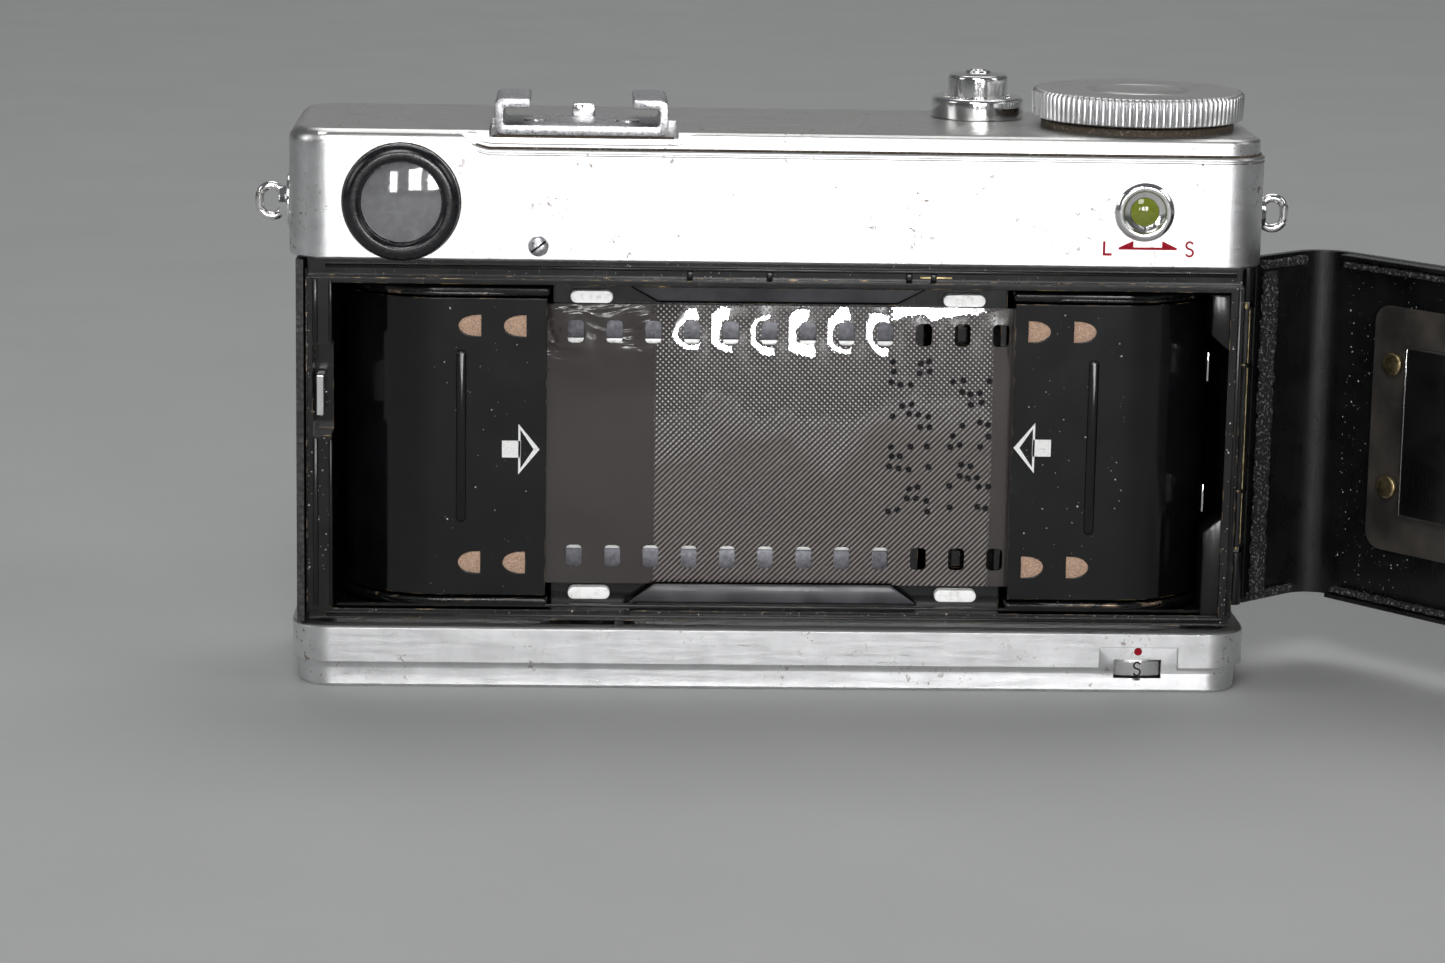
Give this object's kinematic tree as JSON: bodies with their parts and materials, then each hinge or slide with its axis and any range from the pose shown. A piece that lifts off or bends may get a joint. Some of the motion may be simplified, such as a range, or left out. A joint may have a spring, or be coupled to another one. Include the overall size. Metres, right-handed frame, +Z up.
{
  "type": "compact film camera",
  "caption": "Compact viewfinder camera for drop-in film cassettes, with its back door open on a side hinge and film lying across the gate.",
  "frame": {"origin": "middle of the bottom plate's underside", "axes": "+X to the viewer's right, +Y the way the lens points, +Z up"},
  "size_m": [0.2109, 0.119, 0.075],
  "materials": {
    "black_casting": "semi-gloss black over cast alloy, worn to brass at the edges",
    "leatherette": "fine-grained black leathercloth",
    "satin_chrome": "satin",
    "bright_chrome": "polished",
    "black_plastic": "gloss",
    "clear_glass": "polished",
    "green_glass": "polished",
    "black_paint": "semi-gloss black",
    "cassette_paint": "gloss black enamel with worn edges",
    "film_base": "glossy emulsion",
    "white_pad": "matte",
    "grey_plate": "satin grey-brown",
    "spring_steel": "bright",
    "brass": "satin",
    "foam": "crumbling open foam"
  },
  "bodies": {
    "camera": {"chassis": "black_casting", "body_covering": "leatherette", "top_cover": "satin_chrome", "bottom_plate": "satin_chrome", "accessory_shoe": "bright_chrome", "shutter_collar": "bright_chrome", "eyepiece_ring": "black_plastic", "eyepiece_glass": "clear_glass", "finder_tube": "black_plastic", "finder_window": "clear_glass", "meter_window": "clear_glass", "indicator_ring": "bright_chrome", "indicator_lens": "green_glass", "strap_lug_left": "bright_chrome", "strap_lug_right": "bright_chrome", "rear_screw": "bright_chrome", "lens_mount_ring": "satin_chrome", "shutter_housing": "black_plastic", "shutter_blade_upper": "black_paint", "shutter_blade_lower": "black_paint", "rear_lens": "clear_glass", "front_bezel": "satin_chrome", "front_lens": "clear_glass", "guide_pad_top_left": "white_pad", "guide_pad_top_right": "white_pad", "guide_pad_bottom_left": "white_pad", "guide_pad_bottom_right": "white_pad", "hinge_pin": "brass", "hinge_leaf": "brass", "tripod_bush": "bright_chrome"},
    "door": {"back_door": "black_paint", "door_covering": "leatherette", "pressure_plate": "grey_plate", "pressure_spring": "spring_steel", "latch_hook": "bright_chrome", "cassette_spring_left": "grey_plate", "cassette_spring_right": "grey_plate", "spring_rivet_left_top": "brass", "spring_rivet_left_bottom": "brass", "spring_rivet_right_top": "brass", "spring_rivet_right_bottom": "brass", "door_seal_top": "foam", "door_seal_bottom": "foam", "door_seal_hinge": "foam"},
    "wheel": {"advance_wheel": "satin_chrome", "wheel_cap": "satin_chrome"},
    "sprocket": {"sprocket_shaft": "satin_chrome"},
    "button": {"shutter_button": "bright_chrome"},
    "focus": {"focus_ring": "satin_chrome"},
    "aperture": {"aperture_ring": "black_plastic"},
    "drum": {"lock_drum": "bright_chrome"},
    "catch": {"latch_catch": "bright_chrome"},
    "film_load": {"cassette_left": "cassette_paint", "cassette_left_cap_top": "cassette_paint", "cassette_left_cap_bottom": "cassette_paint", "cassette_right": "cassette_paint", "cassette_right_cap_top": "cassette_paint", "cassette_right_cap_bottom": "cassette_paint", "film_strip": "film_base"}
  },
  "joints": [
    {"name": "door_hinge", "type": "hinge", "parent": "camera", "child": "door", "pos_m": [0.0594, -0.001, 0.0299], "axis": [0, 0, 1], "range_deg": [-130, 10]},
    {"name": "advance_wheel_turn", "type": "hinge", "parent": "camera", "child": "wheel", "pos_m": [0.0449, -0.0005, 0.0691], "axis": [0, 0, 1], "continuous": true},
    {"name": "sprocket_turn", "type": "hinge", "parent": "camera", "child": "sprocket", "pos_m": [0.0231, -0.0046, 0.0299], "axis": [0, 0, 1], "continuous": true},
    {"name": "shutter_press", "type": "slide", "parent": "camera", "child": "button", "axis": [0, 0, -1], "range_m": [0, 0.0014], "stiffness_N_per_m": 200},
    {"name": "focus_turn", "type": "hinge", "parent": "camera", "child": "focus", "pos_m": [0.0007, 0.031, 0.0299], "axis": [0, 1, 0], "range_deg": [0, 110]},
    {"name": "aperture_turn", "type": "hinge", "parent": "camera", "child": "aperture", "pos_m": [0.0007, 0.027, 0.0299], "axis": [0, 1, 0], "range_deg": [0, 75]},
    {"name": "lock_drum_turn", "type": "hinge", "parent": "camera", "child": "drum", "pos_m": [0.0456, -0.0056, 0], "axis": [0, 0, 1], "range_deg": [0, 90]},
    {"name": "latch_slide", "type": "slide", "parent": "camera", "child": "catch", "axis": [0, 0, -1], "range_m": [0, 0.002], "stiffness_N_per_m": 200},
    {"name": "film_lift_out", "type": "slide", "parent": "camera", "child": "film_load", "axis": [0, -1, 0], "range_m": [0, 0.04]}
  ],
  "couplings": [
    {"joint": "sprocket_turn", "follows": "advance_wheel_turn", "ratio": 1.3333}
  ]
}
